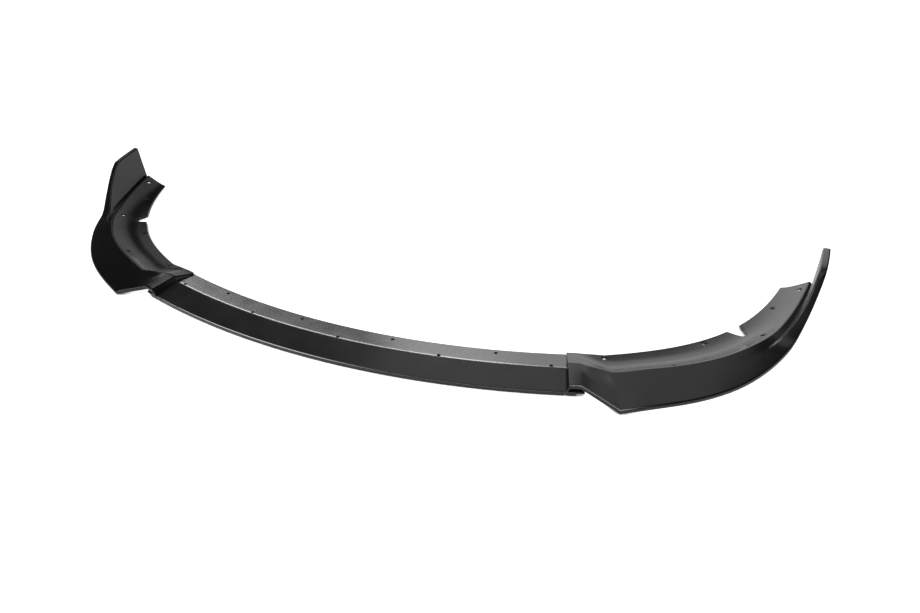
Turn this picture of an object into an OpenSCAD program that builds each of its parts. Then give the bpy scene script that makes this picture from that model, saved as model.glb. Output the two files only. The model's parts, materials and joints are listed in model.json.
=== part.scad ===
// Front splitter lip in three moulded pieces: a bowed centre lip and two handed corners.
// Each piece is one sheet of black plastic with its front edge turned down into a nose lip.
// X runs across the car, Y runs back and Z up from the floor. The shapes are drawn from the middle of
// the nose, and each piece is then placed about the middle of the whole lip.

/* [Sheet] */
// Wall thickness of the moulded sheet
sheet_t = 3; // [2:0.25:3.5]
// Height of the turned-down nose lip
nose_h = 9; // [8:0.5:14]
// Diameter of the screw holes
hole_d = 6.5; // [4:0.5:8]

/* [Centre lip] */
// Plan radius of the nose
nose_r = 1905; // [1700:5:2200]
// Width between the two seams, measured across the nose
seam_w = 973; // [850:1:1000]
// Depth of the blade, from the nose to the crease
blade_d = 61; // [53:1:67]
// Depth of the flange, from the crease to its rear edge
flange_d = 47; // [40:1:54]
// Height of the crease above the floor
crease_h = 14; // [11:0.5:16]
// Length of the tab that runs on under each corner
tab_l = 30; // [24:1:36]
// Length of the nose lip under each corner, past which the tab is trimmed
lip_run = 14; // [8:1:20]
// Width of the slit in the nose lip beside each corner
slit_w = 3; // [2:0.5:5]
// Distance of that slit from the seam
slit_d = 5; // [3:0.5:8]
// Distance of the outermost holes from the seam, along the crease
seam_hole_d = 31; // [26:1:50]
// Distance of the front holes behind the crease
front_hole_d = 3.5; // [3:0.5:10]
// Distance of the rear holes in front of the rear edge
rear_hole_d = 12; // [8:0.5:15]

/* [Corner outline] */
// Overall width across the two fins
overall_w = 1848; // [1800:2:1900]
// Overall depth, from the nose to the back ends
overall_d = 521; // [480:1:560]
// Width between the two front points
front_w = 1168; // [1140:2:1190]
// Distance of the front points behind the middle of the nose
front_d = 44; // [38:1:50]
// Depth of the blade at the front point
corner_blade_d = 77; // [68:1:84]
// Depth of the flange at the front point
corner_flange_d = 69; // [60:1:76]
// Turn of the section at the front point, away from straight ahead
front_turn = 22; // [18:1:26]
// Width of the flange at the back end
end_flange_d = 51; // [45:1:58]

/* [Corner heights] */
// Height of the blade's front edge at the front point
front_edge_h = 13; // [12:0.5:16]
// Height of the blade's front edge along the side
side_edge_h = 22; // [18:0.5:26]
// Height of the crease along the side
side_crease_h = 40; // [36:0.5:44]
// Height of the crease at the back end
end_crease_h = 32; // [28:0.5:36]
// Height of the flange's rear edge at the front point
flange_h = 11; // [8:0.5:14]

/* [Seam collar] */
// Length of the flat band that laps over the centre lip
band_l = 22; // [16:1:26]
// Rise of the band over the centre lip at its front edge
band_rise_front = 19; // [16:0.5:22]
// Rise of the band over the centre lip at the crease
band_rise_crease = 13; // [10:0.5:16]
// Rise of the band over the centre lip at the rear edge
band_rise_rear = 5; // [4:0.1:8]
// Lean of the end wall in degrees, its foot being nearer the centre
wall_lean = 18; // [10:1:24]
// Clearance between the end wall and the centre lip
seat_gap = 0.3; // [0.2:0.05:0.5]

/* [Fin] */
// Height of the fin above the floor
fin_h = 119; // [100:1:140]
// Width of the fin's front and top face
fin_w = 15; // [14:0.5:17]
// Distance from the nose at which the fin starts to rise
fin_start = 305; // [285:1:320]
// Slope of the fin's front face in degrees
fin_slope = 36.5; // [30:0.5:42]
// Width of the groove between the crease and the fin at the back end
groove_w = 7; // [6.5:0.5:8]
// Depth of that groove below the crease
groove_d = 7; // [3:0.5:8]

/* [Notch] */
// Width of the notch where it opens in the flange's edge
notch_mouth = 36; // [24:1:44]
// Depth of the notch
notch_d = 30; // [18:1:34]
// Radius of the notch's inner end
notch_r = 8.5; // [5:0.5:10]

/* [Hidden] */
plastic = [0.10, 0.10, 0.11];
arc_steps = 480;
hole_steps = 24;
// Height of the cuts, and how far below the floor they start
cut_h = 2 * fin_h;
cut_drop = 1;
// Length of a fold's rounding on each side of it, and the most it takes of a short side
fold_l = 1.2 * sheet_t;
fold_share = 0.46;
// Centre lip: distances behind the nose, heights of the top surface, and angles along it
edge_h = nose_h - sheet_t / 6;
crease_r = blade_d;
rear_r = crease_r + flange_d;
rear_h = sheet_t + seat_gap;
seam_a = asin(seam_w / 2 / nose_r);
tab_a = turn(tab_l, nose_r);
band_a = turn(band_l, nose_r);
side_holes = 4;
pitch_a = (seam_a - turn(seam_hole_d, nose_r - crease_r)) / side_holes;
// The collar's end wall stands this far inside the end of the sheet
wall_inset = sheet_t / 2;
// Corner guides: heading and reach of each end of a guide, the reach as a share of its chord
crease_start = [19.5, 0.44];
crease_end = [76, 0.43];
rear_start = [24, 0.44];
rear_end = [71.5, 0.37];
outer_start = [20.5, 0.385];
outer_end = [83.5, 0.45];
// Spans of places along a corner, from 0 at the front point to 1 at the back end, for each change of form
crease_climbs = [0, 0.11];
edge_climbs = [0, 0.15];
edge_swells = [0.35, 0.63];
crease_drops = [0.5, 0.72];
groove_sinks = [0.5, 0.7];
fin_forms = [0.665, 0.8];
groove_narrows = [0.635, 0.935];
curl_opens = [0.375, 1];
// How far the crease climbs from the front point, the edge swells and the ramp starts above the edge
crease_climb = 6;
edge_swell = 6;
ramp_foot = 9;
// Lengths over which the ramp's foot and its top are rounded
foot_blend = 8;
top_blend = 6;
// Shares of the blade's width that the groove and the fin have in front of the fin
groove_share = 0.35;
fin_share = 0.55;
// Flange: flat share and curl of the front and the back section, the share of that curl in the band,
// steps, and the distance from the crease at which the curl ends
flat_share = 0.3;
front_curl = 1.9;
back_curl = 1.35;
band_curl = 0.15;
curl_steps = 5;
curl_end = 5;
collar_steps = 10;
side_steps = 32;
// Holes in a corner: place along it, and share of the flange's width from its rear edge
corner_holes = [[0, 0.14], [0.19, 0.81], [0.384, 0.12], [0.607, 0.79], [0.823, 0.27], [0.96, 0.75]];
notch_at = 0.57;
notch_turn = 8;

function mix(a, b, t) = a + (b - a) * t;
function clamp(t) = max(0, min(1, t));
function ease(t) = let (u = clamp(t)) u * u * (3 - 2 * u);
function along(t, span) = (t - span[0]) / (span[1] - span[0]);
function heading(a) = [cos(a), sin(a)];
function unit(v) = v / norm(v);
// Angle in degrees that a length takes up at a radius
function turn(l, r) = l / r * 180 / PI;
// The larger or the smaller of two heights, with the change rounded over a length
function blend_max(a, b, r) = (a + b + sqrt((a - b) * (a - b) + r * r)) / 2;
function blend_min(a, b, r) = (a + b - sqrt((a - b) * (a - b) + r * r)) / 2;
// Point of the centre lip at a distance behind the nose and an angle from the middle
function on_arc(r, a) = [(nose_r - r) * sin(a), nose_r - (nose_r - r) * cos(a)];
// Cubic curve from p to q, leaving and arriving at the given headings
function guide(p, from, q, to, t) =
    let (l = norm(q - p), b = p + heading(from[0]) * l * from[1], c = q - heading(to[0]) * l * to[1], s = 1 - t)
    p * s * s * s + b * 3 * s * s * t + c * 3 * s * t * t + q * t * t * t;
// Three points that round the fold at p between its neighbours a and b
function fold(a, p, b) =
    let (u = p + unit(a - p) * min(fold_l, norm(a - p) * fold_share),
         v = p + unit(b - p) * min(fold_l, norm(b - p) * fold_share))
    [u, (u + p * 2 + v) / 4, v];
// Offset of each point of a line to its right, square to the line and mitred at its bends
function side_step(line, i, t) =
    let (n = len(line), d0 = unit(line[max(i, 1)] - line[max(i, 1) - 1]),
         d1 = unit(line[min(i, n - 2) + 1] - line[min(i, n - 2)]), m = unit(d0 + d1), c = m * d0)
    [m[1], -m[0]] * t / c;

// Section of the centre lip: distance behind the nose, and height
function lip_line() =
    let (foot = [0, 0], edge = [0, edge_h], crease = [crease_r, crease_h], rear = [rear_r, rear_h])
    concat([foot], fold(foot, edge, crease), fold(edge, crease, rear), [rear]);

// Plan points of a corner at its seam, from the rear edge, the crease and the front edge
seam_points = [for (r = [rear_r, crease_r, 0]) on_arc(r, seam_a)];
band_points = [for (r = [rear_r, crease_r, 0]) on_arc(r, seam_a + band_a)];
front_point = [front_w / 2, front_d];
inward = [-sin(front_turn), cos(front_turn)];
crease_point = front_point + inward * corner_blade_d;
rear_point = crease_point + inward * corner_flange_d;
back_outer = [overall_w / 2, overall_d];
back_crease = back_outer - [fin_w + seat_gap, 0];
back_rear = back_crease - [end_flange_d, 0];
function side_points(t) = [
    guide(rear_point, rear_start, back_rear, rear_end, t),
    guide(crease_point, crease_start, back_crease, crease_end, t),
    guide(front_point, outer_start, back_outer, outer_end, t)];

// Heights of the rear edge, the crease and the front edge
seam_heights = [rear_h + band_rise_rear, crease_h + band_rise_crease, edge_h + band_rise_front];
front_heights = [flange_h, side_crease_h - crease_climb, front_edge_h];
function ramp(y) = side_edge_h + ramp_foot + tan(fin_slope) * (y - fin_start);
function fin_z(low, y) = blend_min(blend_max(low, ramp(y), foot_blend), fin_h, top_blend);
function side_heights(t) =
    let (edge_left = 1 - clamp(along(t, edge_climbs)))
    [mix(flange_h, sheet_t, t),
     mix(side_crease_h, end_crease_h, ease(along(t, crease_drops)))
        - crease_climb * (1 - ease(along(t, crease_climbs))),
     mix(side_edge_h, front_edge_h, edge_left * edge_left) + edge_swell * ease(along(t, edge_swells))];

// Top line of a corner's section, as points in space, from the rear edge to the foot of the nose lip.
// Its flange is nearly straight over the centre lip and fully curled from the front point on.
function section(p, z, t, curled) =
    let (rear = p[0], crease = p[1], outer = p[2], w = norm(outer - crease), f = norm(crease - rear),
         g = mix(groove_share * w, groove_w, ease(along(t, groove_narrows))) / w,
         r = 1 - mix(fin_share * w, fin_w, ease(along(t, fin_forms))) / w,
         opening = ease(along(t, curl_opens)),
         flat = curled * mix(flat_share, 0, opening),
         bow = mix(1, mix(front_curl, back_curl, opening), curled),
         groove_xy = mix(crease, outer, g), ridge_xy = mix(crease, outer, r),
         zo = fin_z(z[2], outer[1]),
         zg = mix(mix(z[1], z[2], g), z[1] - groove_d, ease(along(t, groove_sinks))),
         zr = fin_z(mix(z[1], z[2], r), ridge_xy[1]),
         last = 1 - curl_end / f,
         curl = [for (k = [0:curl_steps])
             let (v = last * (1 - pow(1 - k / curl_steps, 1.3)), c = clamp((v - flat) / (1 - flat)))
             [each mix(rear, crease, v), mix(z[0], z[1], pow(c, bow))]],
         pc = [each crease, z[1]], pg = [each groove_xy, zg], pr = [each ridge_xy, zr],
         po = [each outer, zo], pf = [each outer, zo - nose_h])
    concat(curl, fold(curl[curl_steps], pc, pg), fold(pc, pg, pr), fold(pg, pr, po), fold(pr, po, pf), [pf]);

// The same line one sheet thickness below, measured in the section's own upright plane
function underside(top, p) =
    let (d = unit(p[2] - p[0]), flat = [for (q = top) [[q[0], q[1]] * d, q[2]]])
    [for (i = [0:len(top) - 1]) let (s = side_step(flat, i, sheet_t)) top[i] + [d[0] * s[0], d[1] * s[0], s[1]]];

// Stations along a corner: plan points, heights, place and curl, first over the seam and then along the side
function stations() = concat(
    [for (k = [0:1]) [mix(seam_points, band_points, k), seam_heights, 0, band_curl]],
    [for (k = [1:collar_steps - 1]) let (u = k / collar_steps, e = ease(u))
        [[mix(band_points[0], rear_point, u), mix(band_points[1], crease_point, u),
          mix(band_points[2], front_point, u)],
         [mix(seam_heights[0], front_heights[0], e), mix(seam_heights[1], front_heights[1], e),
          mix(seam_heights[2], front_heights[2], u)], 0, mix(band_curl, 1, e)]],
    [for (k = [0:side_steps]) let (t = k / side_steps) [side_points(t), side_heights(t), t, 1]]);

// A closed sheet from a row of top lines and a row of undersides
module sheet(tops, bottoms) {
    n = len(tops[0]);
    m = len(tops);
    ring = 2 * n;
    points = [for (i = [0:m - 1]) each concat(tops[i], [for (j = [n - 1:-1:0]) bottoms[i][j]])];
    sides = [for (i = [0:m - 2]) for (j = [0:ring - 1])
        let (a = i * ring + j, b = i * ring + (j + 1) % ring)
        each [[a, b + ring, b], [a, a + ring, b + ring]]];
    caps = [for (j = [0:n - 2]) let (k = ring - 1 - j, o = (m - 1) * ring)
        each [[j, k - 1, k], [j, j + 1, k - 1], [o + j, o + k, o + k - 1], [o + j, o + k - 1, o + j + 1]]];
    polyhedron(points = points, faces = concat(sides, caps), convexity = 10);
}

// Place of a point of the end wall: distance behind the nose and height, and distance past the seam
function wall_point(q, t) = [each on_arc(q[0], seam_a) + heading(seam_a) * t, q[1]];

// Wall that closes the collar's end: it leans from the top of the sheet down to a foot nearer the
// centre, just above the centre lip
module end_wall(top) {
    axis = [0, nose_r];
    lip = [for (q = lip_line()) if (q[0] > 0) q];
    line = [for (i = [0:len(top) - 3]) [nose_r - norm([top[i][0], top[i][1]] - axis), top[i][2]]];
    seat = [for (q = line) [q[0], lookup(q[0], lip) + seat_gap]];
    rows = [for (t = [wall_inset, wall_inset + sheet_t])
        [[for (q = line) wall_point(q, t)],
         [for (i = [0:len(line) - 1]) wall_point(seat[i], t - tan(wall_lean) * (line[i][1] - seat[i][1]))]]];
    sheet([for (r = rows) r[0]], [for (r = rows) r[1]]);
}

// Tapered notch in the flange's rear edge, drawn from well outside the edge to its round inner end
module notch() {
    p = side_points(notch_at);
    a = atan2(p[1][1] - p[0][1], p[1][0] - p[0][0]) + notch_turn;
    straight = notch_d - notch_r;
    flare = (notch_mouth / 2 - notch_r) / straight;
    start = notch_mouth / 2 + flare * straight;
    translate([p[0][0], p[0][1], -cut_drop])
        rotate([0, 0, a])
        linear_extrude(cut_h) {
            polygon([[-straight, start], [straight, notch_r], [straight, -notch_r], [-straight, -start]]);
            translate([straight, 0])
                circle(r = notch_r, $fn = hole_steps);
        }
}

module placed() {
    translate([0, -overall_d / 2, 0])
        children();
}

module hole(p) {
    translate([p[0], p[1], -cut_drop])
        cylinder(d = hole_d, h = cut_h, $fn = hole_steps);
}

module corner() {
    rows = stations();
    tops = [for (s = rows) section(s[0], s[1], s[2], s[3])];
    bottoms = [for (i = [0:len(rows) - 1]) underside(tops[i], rows[i][0])];
    difference() {
        union() {
            sheet(tops, bottoms);
            end_wall(tops[0]);
        }
        notch();
        for (h = corner_holes) {
            p = side_points(h[0]);
            hole(mix(p[0], p[1], h[1]));
        }
    }
}

// Cut through a nose lip below the blade, between two distances past the seam on one side
module nose_cut(side, from, to) {
    translate([0, nose_r, -cut_drop])
        rotate([0, 0, -90 + side * (seam_a + turn((from + to) / 2, nose_r))])
        translate([nose_r - 2 * sheet_t, (from - to) / 2, 0])
        cube([3 * sheet_t, to - from, nose_h - sheet_t + cut_drop]);
}

module center_lip() {
    half_a = seam_a + tab_a;
    top = lip_line();
    below = [for (i = [len(top) - 1:-1:0]) top[i] + side_step(top, i, sheet_t)];
    color(plastic)
        placed()
        difference() {
            translate([0, nose_r, 0])
                rotate([0, 0, -90 - half_a])
                rotate_extrude(angle = 2 * half_a, $fn = arc_steps)
                polygon([for (q = concat(top, below)) [nose_r - q[0], q[1]]]);
            for (k = [-side_holes:side_holes])
                hole(on_arc(k % 2 == 0 ? crease_r + front_hole_d : rear_r - rear_hole_d, k * pitch_a));
            for (s = [-1, 1]) {
                nose_cut(s, -slit_d - slit_w, -slit_d);
                nose_cut(s, lip_run, lip_run + tab_l);
            }
        }
}

module right_corner() {
    color(plastic)
        placed()
        corner();
}

module left_corner() {
    color(plastic)
        placed()
        mirror([1, 0, 0])
        corner();
}

center_lip();
left_corner();
right_corner();
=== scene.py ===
import math
import bpy
import json
from mathutils import Euler, Matrix, Vector

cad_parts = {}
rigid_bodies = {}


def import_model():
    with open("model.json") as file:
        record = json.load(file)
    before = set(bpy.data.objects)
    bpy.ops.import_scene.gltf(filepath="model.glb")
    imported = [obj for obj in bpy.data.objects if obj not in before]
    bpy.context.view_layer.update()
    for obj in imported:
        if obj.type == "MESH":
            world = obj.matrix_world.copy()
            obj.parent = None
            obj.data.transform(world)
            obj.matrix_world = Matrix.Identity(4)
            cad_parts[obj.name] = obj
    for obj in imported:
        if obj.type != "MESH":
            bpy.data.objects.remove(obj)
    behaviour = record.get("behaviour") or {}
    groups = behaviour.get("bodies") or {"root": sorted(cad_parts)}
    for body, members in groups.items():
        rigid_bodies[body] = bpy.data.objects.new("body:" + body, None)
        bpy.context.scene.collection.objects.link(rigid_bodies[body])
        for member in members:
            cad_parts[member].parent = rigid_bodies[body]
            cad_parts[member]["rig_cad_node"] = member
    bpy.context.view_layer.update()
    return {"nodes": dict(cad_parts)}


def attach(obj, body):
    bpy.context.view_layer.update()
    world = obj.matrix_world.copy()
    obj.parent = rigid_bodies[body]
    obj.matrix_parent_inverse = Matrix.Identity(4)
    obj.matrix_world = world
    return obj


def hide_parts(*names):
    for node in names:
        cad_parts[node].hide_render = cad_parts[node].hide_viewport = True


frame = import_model()
bpy.context.scene.view_settings.view_transform = "Standard"

# Camera
# The lip lies on a white floor and is seen from the front right and from above, with a wide lens.
# The camera's place is in metres, and its turns about X, Y and Z are in degrees.
camera_place = Vector((0.6048, -0.98505, 0.85654))
camera_turns = (50.846, 2.453, 20.473)
lens = bpy.data.cameras.new("camera")
lens.sensor_width = 36
lens.lens = 23.99
lens.clip_end = 50
camera = bpy.data.objects.new("camera", lens)
camera_angles = Euler([math.radians(turn) for turn in camera_turns])
camera.matrix_world = Matrix.LocRotScale(camera_place, camera_angles, None)
bpy.context.scene.collection.objects.link(camera)
bpy.context.scene.camera = camera

# Floor and room
# A white studio floor, pure white to the camera except where the lip shades it closely, and a room
# that is white to the camera and dim to the plastic, because its gloss should show the lamps alone.
floor_size = 24
floor_middle = (0, 3, -0.0004)
floor_colour = (0.80, 0.80, 0.80, 1)
floor_in_gloss = 0.42
shade_reach = 0.02
fully_shaded = 0.48
fully_open = 0.72
room_light = 0.025
bpy.ops.mesh.primitive_grid_add(x_subdivisions=8, y_subdivisions=8, size=floor_size, location=floor_middle)
floor = bpy.context.object
floor.name = "floor"
bpy.ops.object.transform_apply(location=True)
paper = bpy.data.materials.new("white_floor")
paper.use_nodes = True
nodes, links = paper.node_tree.nodes, paper.node_tree.links
matte = nodes["Principled BSDF"]
matte.inputs["Base Color"].default_value = floor_colour
matte.inputs["Roughness"].default_value = 0.9
matte.inputs["Specular IOR Level"].default_value = 0.0
rays = nodes.new("ShaderNodeLightPath")
seen = nodes.new("ShaderNodeMath")
seen.operation = "MULTIPLY_ADD"
seen.inputs[1].default_value = floor_in_gloss
links.new(rays.outputs["Is Glossy Ray"], seen.inputs[0])
links.new(rays.outputs["Is Camera Ray"], seen.inputs[2])
shade = nodes.new("ShaderNodeAmbientOcclusion")
shade.samples = 16
shade.inputs["Distance"].default_value = shade_reach
openness = nodes.new("ShaderNodeMapRange")
openness.inputs["From Min"].default_value = fully_shaded
openness.inputs["From Max"].default_value = fully_open
links.new(shade.outputs["AO"], openness.inputs["Value"])
glow = nodes.new("ShaderNodeMath")
glow.operation = "MULTIPLY"
links.new(seen.outputs[0], glow.inputs[0])
links.new(openness.outputs["Result"], glow.inputs[1])
matte.inputs["Emission Color"].default_value = (1, 1, 1, 1)
links.new(glow.outputs[0], matte.inputs["Emission Strength"])
floor.data.materials.append(paper)

world = bpy.data.worlds.new("studio")
bpy.context.scene.world = world
world.use_nodes = True
nodes, links = world.node_tree.nodes, world.node_tree.links
room = nodes["Background"]
room.inputs["Color"].default_value = (1, 1, 1, 1)
rays = nodes.new("ShaderNodeLightPath")
level = nodes.new("ShaderNodeMapRange")
level.inputs["To Min"].default_value = room_light
links.new(rays.outputs["Is Camera Ray"], level.inputs["Value"])
links.new(level.outputs["Result"], room.inputs["Strength"])

# Centre lip
# One long shallow bow, injection moulded in black plastic with a fine satin grain. Its section, a nose
# turned down in front, a blade, a raised crease and a flange behind, runs evenly round the bow. It is
# drilled in two rows for its screws, and its two ends run on as tabs under the corners.
sheet = 0.003
nose_radius = 1.905
overall_depth = 0.521
seam_width = 0.973
tab_length = 0.030
nose_height = 0.0085
blade_depth = 0.061
crease_height = 0.014
flange_depth = 0.047
rear_height = 0.0033
fold_reach = 0.0036
nose_fold_steps = 8
crease_fold_steps = 6
bow_steps = 120
bow_middle = (0, nose_radius - overall_depth / 2, 0)
seam_angle = math.asin(seam_width / 2 / nose_radius)
lip_half_angle = seam_angle + tab_length / nose_radius

# Edges that turn by more than the sharp angle get a small round, and folds that turn by less than the
# smooth angle are shaded smooth.
rim_round = 0.0006
round_segments = 2
sharp_angle = math.radians(62)
smooth_angle = math.radians(50)

# Nine holes take turns between a row behind the crease and a row in front of the rear edge. A row is
# its depth behind the nose and the height of the sheet's top face there.
hole_steps = 4
end_hole_gap = 0.031
front_hole_gap = 0.0035
rear_hole_gap = 0.012
front_hole_top = 0.0131
rear_hole_top = 0.0060
hole_span = seam_angle - end_hole_gap / (nose_radius - blade_depth)
front_row = (blade_depth + front_hole_gap, front_hole_top)
rear_row = (blade_depth + flange_depth - rear_hole_gap, rear_hole_top)

# A screw hole widens upwards from its drilled width. The cone that cuts it runs past the sheet above
# and below, with its middle a little under the sheet's top face.
funnel_low_radius = 0.001
funnel_high_radius = 0.006
funnel_height = 0.020
funnel_sink = 0.002

# The nose has a slit just inside each seam, and is trimmed off the tab beyond it. These are the two
# spans along the nose, outwards from the seam, and the size of the cut across it.
slit_span = (-0.008, -0.005)
trim_span = (0.014, 0.044)
cut_depth = 0.009
cut_height = 0.007
cut_middle = 0.0025

plastic_dark = (0.0024, 0.0024, 0.0026, 1)
plastic_light = (0.0048, 0.0048, 0.0052, 1)
raw_dark = (0.0020, 0.0020, 0.0020, 1)
raw_light = (0.0040, 0.0040, 0.0040, 1)
mottle_low = 0.3
mottle_high = 0.7


def moulded_grain():
    group = bpy.data.node_groups.new("moulded_grain", "ShaderNodeTree")
    sockets = group.interface
    sockets.new_socket("Vector", in_out="INPUT", socket_type="NodeSocketVector")
    sockets.new_socket("Grain Scale", in_out="INPUT", socket_type="NodeSocketFloat")
    sockets.new_socket("Mottle Scale", in_out="INPUT", socket_type="NodeSocketFloat")
    sockets.new_socket("Mottle", in_out="OUTPUT", socket_type="NodeSocketFloat")
    sockets.new_socket("Grain", in_out="OUTPUT", socket_type="NodeSocketFloat")
    nodes, links = group.nodes, group.links
    entry = nodes.new("NodeGroupInput")
    leave = nodes.new("NodeGroupOutput")
    grain = nodes.new("ShaderNodeTexNoise")
    grain.inputs["Detail"].default_value = 3
    links.new(entry.outputs["Vector"], grain.inputs["Vector"])
    links.new(entry.outputs["Grain Scale"], grain.inputs["Scale"])
    links.new(grain.outputs["Fac"], leave.inputs["Grain"])
    mottle = nodes.new("ShaderNodeTexNoise")
    mottle.inputs["Detail"].default_value = 5
    mottle.inputs["Roughness"].default_value = 0.6
    links.new(entry.outputs["Vector"], mottle.inputs["Vector"])
    links.new(entry.outputs["Mottle Scale"], mottle.inputs["Scale"])
    links.new(mottle.outputs["Fac"], leave.inputs["Mottle"])
    return group


grain_group = moulded_grain()


# A black whose tone changes slowly over the surface.
def grained_black(name, grain_scale, mottle_scale, dark, light):
    plastic = bpy.data.materials.new(name)
    plastic.use_nodes = True
    nodes, links = plastic.node_tree.nodes, plastic.node_tree.links
    place = nodes.new("ShaderNodeTexCoord")
    grain = nodes.new("ShaderNodeGroup")
    grain.name = "Grain"
    grain.node_tree = grain_group
    grain.inputs["Grain Scale"].default_value = grain_scale
    grain.inputs["Mottle Scale"].default_value = mottle_scale
    links.new(place.outputs["Object"], grain.inputs["Vector"])
    tone = nodes.new("ShaderNodeMix")
    tone.data_type = "RGBA"
    tone.inputs["A"].default_value = dark
    tone.inputs["B"].default_value = light
    links.new(grain.outputs["Mottle"], tone.inputs["Factor"])
    links.new(tone.outputs["Result"], nodes["Principled BSDF"].inputs["Base Color"])
    return plastic


def satin_plastic(name, rough_low, rough_high, grain_depth):
    plastic = grained_black(name, grain_scale=900, mottle_scale=18, dark=plastic_dark, light=plastic_light)
    nodes, links = plastic.node_tree.nodes, plastic.node_tree.links
    shader = nodes["Principled BSDF"]
    grain = nodes["Grain"]
    gloss = nodes.new("ShaderNodeMapRange")
    gloss.inputs["From Min"].default_value = mottle_low
    gloss.inputs["From Max"].default_value = mottle_high
    gloss.inputs["To Min"].default_value = rough_low
    gloss.inputs["To Max"].default_value = rough_high
    links.new(grain.outputs["Mottle"], gloss.inputs["Value"])
    links.new(gloss.outputs["Result"], shader.inputs["Roughness"])
    relief = nodes.new("ShaderNodeBump")
    relief.inputs["Strength"].default_value = 1.0
    relief.inputs["Distance"].default_value = grain_depth
    links.new(grain.outputs["Grain"], relief.inputs["Height"])
    links.new(relief.outputs["Normal"], shader.inputs["Normal"])
    return plastic


def drilled_plastic():
    plastic = grained_black(
        "drilled_plastic", grain_scale=1500, mottle_scale=300, dark=raw_dark, light=raw_light)
    shader = plastic.node_tree.nodes["Principled BSDF"]
    shader.inputs["Roughness"].default_value = 0.8
    shader.inputs["Specular IOR Level"].default_value = 0.15
    return plastic


def select_only(piece):
    bpy.ops.object.select_all(action="DESELECT")
    piece.select_set(True)
    bpy.context.view_layer.objects.active = piece


# The points of a rounded fold at a corner of the section.
def fold(before, corner, after, steps):
    start = corner + (before - corner).normalized() * fold_reach
    end = corner + (after - corner).normalized() * fold_reach
    shares = [k / steps for k in range(steps + 1)]
    return [start.lerp(corner, share).lerp(corner.lerp(end, share), share) for share in shares]


# The place on the bow at a turn from its middle and a depth behind the nose.
def on_bow(turn, depth):
    reach = nose_radius - depth
    return reach * math.sin(turn), bow_middle[1] - reach * math.cos(turn)


# With the clamp, the shortest edge limits all the rounds.
def round_edges(piece, width, clamp):
    rounding = piece.modifiers.new("rounding", "BEVEL")
    rounding.limit_method = "ANGLE"
    rounding.angle_limit = sharp_angle
    rounding.width = width
    rounding.segments = round_segments
    rounding.use_clamp_overlap = clamp
    bpy.ops.object.modifier_apply(modifier="rounding")


def funnel(x, y, top):
    bpy.ops.mesh.primitive_cone_add(
        vertices=32, radius1=funnel_low_radius, radius2=funnel_high_radius,
        depth=funnel_height, location=(x, y, top - funnel_sink))
    return bpy.context.object


# Cuts all the cutters out of a piece at once and leaves their walls in raw, drilled plastic.
def bore(piece, cutters):
    select_only(cutters[0])
    for cutter in cutters:
        cutter.select_set(True)
    bpy.ops.object.join()
    cutter = bpy.context.object
    bpy.ops.object.transform_apply(location=True, rotation=True, scale=True)
    cutter.data.materials.append(piece.data.materials[0])
    cutter.data.materials.append(drilled)
    for face in cutter.data.polygons:
        face.material_index = 1
    cut = piece.modifiers.new("cut", "BOOLEAN")
    cut.operation = "DIFFERENCE"
    cut.solver = "MANIFOLD"
    cut.object = cutter
    bpy.context.view_layer.objects.active = piece
    bpy.ops.object.modifier_apply(modifier="cut")
    bpy.data.objects.remove(cutter)


def dress(piece, node):
    select_only(piece)
    bpy.ops.object.shade_smooth_by_angle(angle=smooth_angle)
    shading = piece.modifiers.new("shading", "WEIGHTED_NORMAL")
    shading.keep_sharp = True
    bpy.ops.object.modifier_apply(modifier="shading")
    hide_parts(node)
    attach(piece, "root")


center_plastic = satin_plastic("center_plastic", rough_low=0.19, rough_high=0.23, grain_depth=0.000002)
drilled = drilled_plastic()
foot = Vector((0, 0, 0))
edge = Vector((0, 0, nose_height))
crease = Vector((0, blade_depth, crease_height))
rear = Vector((0, blade_depth + flange_depth, rear_height))
nose_fold = fold(foot, edge, crease, nose_fold_steps)
crease_fold = fold(edge, crease, rear, crease_fold_steps)
section = [foot] + nose_fold + crease_fold + [rear]

# The section starts as one point at the nose's foot, is drawn out line by line, and is then turned to
# the left end and spun along the bow.
bpy.ops.object.select_all(action="DESELECT")
bpy.ops.mesh.primitive_plane_add(size=0.001, location=(0, bow_middle[1] - nose_radius, 0))
center = bpy.context.object
center.name = "center_lip_moulding"
bpy.ops.object.transform_apply(location=True)
bpy.ops.object.mode_set(mode="EDIT")
bpy.ops.mesh.select_all(action="SELECT")
bpy.ops.mesh.merge(type="CENTER")
for start, end in zip(section, section[1:]):
    bpy.ops.mesh.extrude_region_move(TRANSFORM_OT_translate={"value": end - start})
bpy.ops.mesh.select_all(action="SELECT")
bpy.ops.transform.rotate(value=-lip_half_angle, orient_axis="Z", center_override=bow_middle)
bpy.ops.mesh.spin(steps=bow_steps, angle=2 * lip_half_angle, center=bow_middle, axis=(0, 0, 1))
bpy.ops.mesh.select_all(action="SELECT")
bpy.ops.mesh.remove_doubles(threshold=1e-6)
bpy.ops.object.mode_set(mode="OBJECT")
wall = center.modifiers.new("wall", "SOLIDIFY")
wall.thickness = sheet
wall.offset = -1
wall.use_even_offset = True
bpy.ops.object.modifier_apply(modifier="wall")
round_edges(center, rim_round, clamp=True)
center.data.materials.append(center_plastic)
center.data.materials.append(drilled)

cutters = []
for step in range(-hole_steps, hole_steps + 1):
    depth, top = front_row if step % 2 == 0 else rear_row
    x, y = on_bow(step * hole_span / hole_steps, depth)
    cutters.append(funnel(x, y, top))
for side in (-1, 1):
    for start, stop in (slit_span, trim_span):
        turn = side * (seam_angle + (start + stop) / 2 / nose_radius)
        x, y = on_bow(turn, sheet / 2)
        size = (stop - start, cut_depth, cut_height)
        bpy.ops.mesh.primitive_cube_add(
            size=1, location=(x, y, cut_middle), rotation=(0, 0, turn), scale=size)
        cutters.append(bpy.context.object)
bore(center, cutters)
dress(center, "center_lip")

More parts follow.
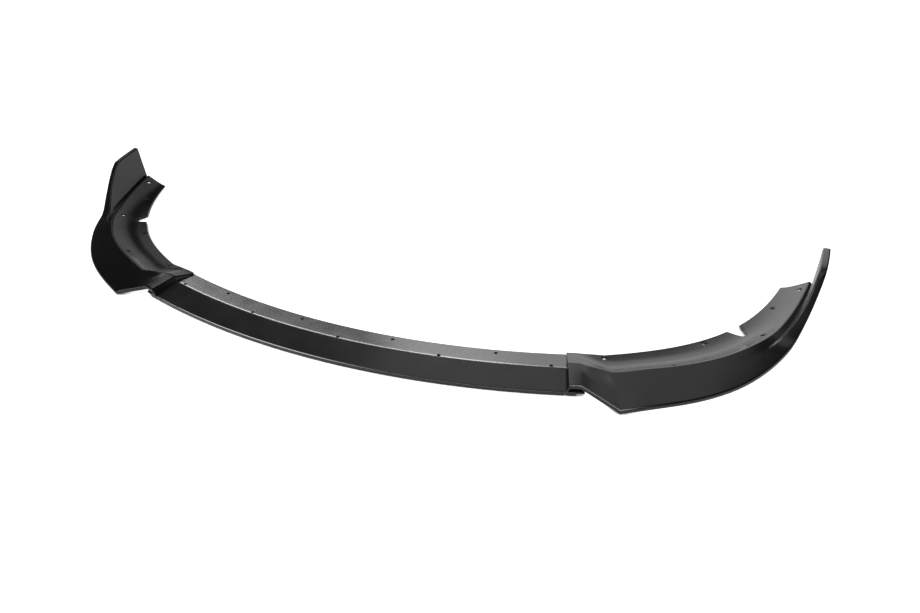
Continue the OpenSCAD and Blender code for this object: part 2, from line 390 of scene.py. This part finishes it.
# Corners
# Two handed mouldings of the same black plastic, each with a raised collar over the centre lip, a
# curled flange and a fin. They are copies of the frame's corners with small rounds on their edges, and
# six screw holes that widen upwards like the centre lip's.
corner_screws = [
    (0.5329, -0.0901), (0.6595, -0.0845), (0.7113, 0.0157),
    (0.8155, 0.0568), (0.8391, 0.1717), (0.8891, 0.2358)]
corner_round = 0.0004
merge_reach = 0.0002
flat_angle = math.radians(12)
square_angle = math.radians(60)
hole_wall_reach = 0.0034
hole_wall_tilt = 0.7
rim_reach = 0.006
rim_sides = ((rim_reach, 0), (0, rim_reach), (-rim_reach, 0), (0, -rim_reach))
ray_top = 0.5
corner_plastic = satin_plastic("corner_plastic", rough_low=0.22, rough_high=0.27, grain_depth=0.000003)


# The copy's closest points become one and its flat pairs of triangles become four-sided faces, so that
# the rounds on its edges come out even.
def copy_corner(node, name):
    select_only(frame["nodes"][node])
    bpy.ops.object.duplicate()
    piece = bpy.context.object
    piece.name = name
    piece.parent = None
    del piece["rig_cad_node"]
    bpy.ops.object.mode_set(mode="EDIT")
    bpy.ops.mesh.select_all(action="SELECT")
    bpy.ops.mesh.remove_doubles(threshold=merge_reach)
    bpy.ops.mesh.tris_convert_to_quads(face_threshold=flat_angle, shape_threshold=square_angle)
    bpy.ops.object.mode_set(mode="OBJECT")
    round_edges(piece, corner_round, clamp=False)
    piece.data.materials.clear()
    piece.data.materials.append(corner_plastic)
    piece.data.materials.append(drilled)
    return piece


# Each funnel is set to the mean height of the top face round its hole. Side is -1 left and 1 right.
def drill_corner(piece, side):
    screws = [(side * x, y) for x, y in corner_screws]
    for face in piece.data.polygons:
        away = min(math.hypot(face.center.x - x, face.center.y - y) for x, y in screws)
        if away < hole_wall_reach and abs(face.normal.z) < hole_wall_tilt:
            face.material_index = 1
    cutters = []
    for x, y in screws:
        rim = [piece.ray_cast((x + dx, y + dy, ray_top), (0, 0, -1))[1].z for dx, dy in rim_sides]
        cutters.append(funnel(x, y, sum(rim) / len(rim)))
    bore(piece, cutters)


left = copy_corner("left_corner", "left_corner_moulding")
drill_corner(left, -1)
dress(left, "left_corner")
right = copy_corner("right_corner", "right_corner_moulding")
drill_corner(right, 1)
dress(right, "right_corner")

# Lamps
# Soft boxes, each set for the pieces whose gloss should show it: wide panels behind the lip light the
# flanges, a bright strip above them draws the crease, and a long strip in front draws the nose's edge.
back = 3.4


# A soft box stands at its place and faces its target. One that names no pieces lights everything.
def soft_box(name, place, target, width, height, radiance, pieces=()):
    lamp = bpy.data.lights.new(name, "AREA")
    lamp.shape = "RECTANGLE"
    lamp.size = width
    lamp.size_y = height
    lamp.energy = radiance * math.pi * width * height
    stand = bpy.data.objects.new(name, lamp)
    aim = (Vector(target) - Vector(place)).to_track_quat("-Z", "Y")
    stand.matrix_world = Matrix.LocRotScale(Vector(place), aim, None)
    bpy.context.scene.collection.objects.link(stand)
    stand.visible_camera = False
    if pieces:
        lit_pieces = bpy.data.collections.new(name + "_lights")
        for piece in pieces:
            lit_pieces.objects.link(piece)
        stand.light_linking.receiver_collection = lit_pieces


soft_box("back_right", (0.8, back, 1.25), (0.8, 0, 1.25), 2.8, 2.5, 1.8, (center, right, floor))
soft_box("back_middle", (-1.1, back, 1.2), (-1.1, 0, 1.2), 1.0, 1.0, 2.6, (center, right, floor))
soft_box("back_left", (-2.6, back, 1.2), (-2.6, 0, 1.2), 2.0, 0.9, 0.4, (center, floor))
soft_box("back_center", (-0.5, back, 1.15), (-0.5, 0, 1.15), 1.2, 0.8, 0.9, (center,))
soft_box("crease_panel_left", (-2.9, back, 2.5), (-2.9, 0, 2.5), 2.8, 1.1, 12.0, (center,))
soft_box("crease_panel_right", (-0.6, back, 2.4), (-0.6, 0, 2.4), 1.8, 1.2, 16.0, (center,))
soft_box("ledge_panel", (-2.3, -1.0, 2.5), (0, -0.3, 0), 1.9, 2.2, 15.0, (center,))
soft_box("left_panel", (-0.4, back, 1.45), (-0.4, 0, 1.45), 2.8, 2.9, 0.75, (left,))
soft_box("left_low_panel", (-3.2, back, 0.8), (-3.2, 0, 0.8), 2.6, 1.4, 0.5, (left,))
soft_box("left_collar_panel", (-4.8, back, 4.1), (-0.5, 0, 0), 1.0, 1.0, 3.2, (left,))
soft_box("left_fin_panel", (-5.1, back, 2.3), (-0.9, 0, 0), 1.0, 1.0, 0.5, (left,))
soft_box("right_low_panel", (-0.1, back, 0.35), (-0.1, 0, 0.35), 0.9, 0.7, 2.0, (right,))
soft_box("right_collar_panel", (-0.4, back, 3.6), (0.5, 0, 0), 0.9, 0.9, 2.8, (right,))
soft_box("high_box", (0.45, 1.0, 2.6), (0.45, 1.0, 0), 3.4, 1.6, 0.8)
soft_box("right_fin_box", (-0.65, -0.4, 2.6), (-0.65, -0.4, 0), 1.9, 1.0, 7.0, (right,))
soft_box("left_fin_box", (-0.4, -0.35, 2.6), (-0.4, -0.35, 0), 1.4, 0.6, 1.4, (left,))
soft_box("corner_ledge_panel", (0.6, -2.2, 2.4), (0.6, 0, 0), 2.0, 1.2, 8.0, (left, right))
soft_box("front_fill", (0, -3.6, 0.9), (0, 0, 0.3), 5.0, 1.2, 0.5)
soft_box("front_strip", (-1.0, -2.8, 2.2), (-1.0, 0, 0), 5.0, 0.9, 8.0)
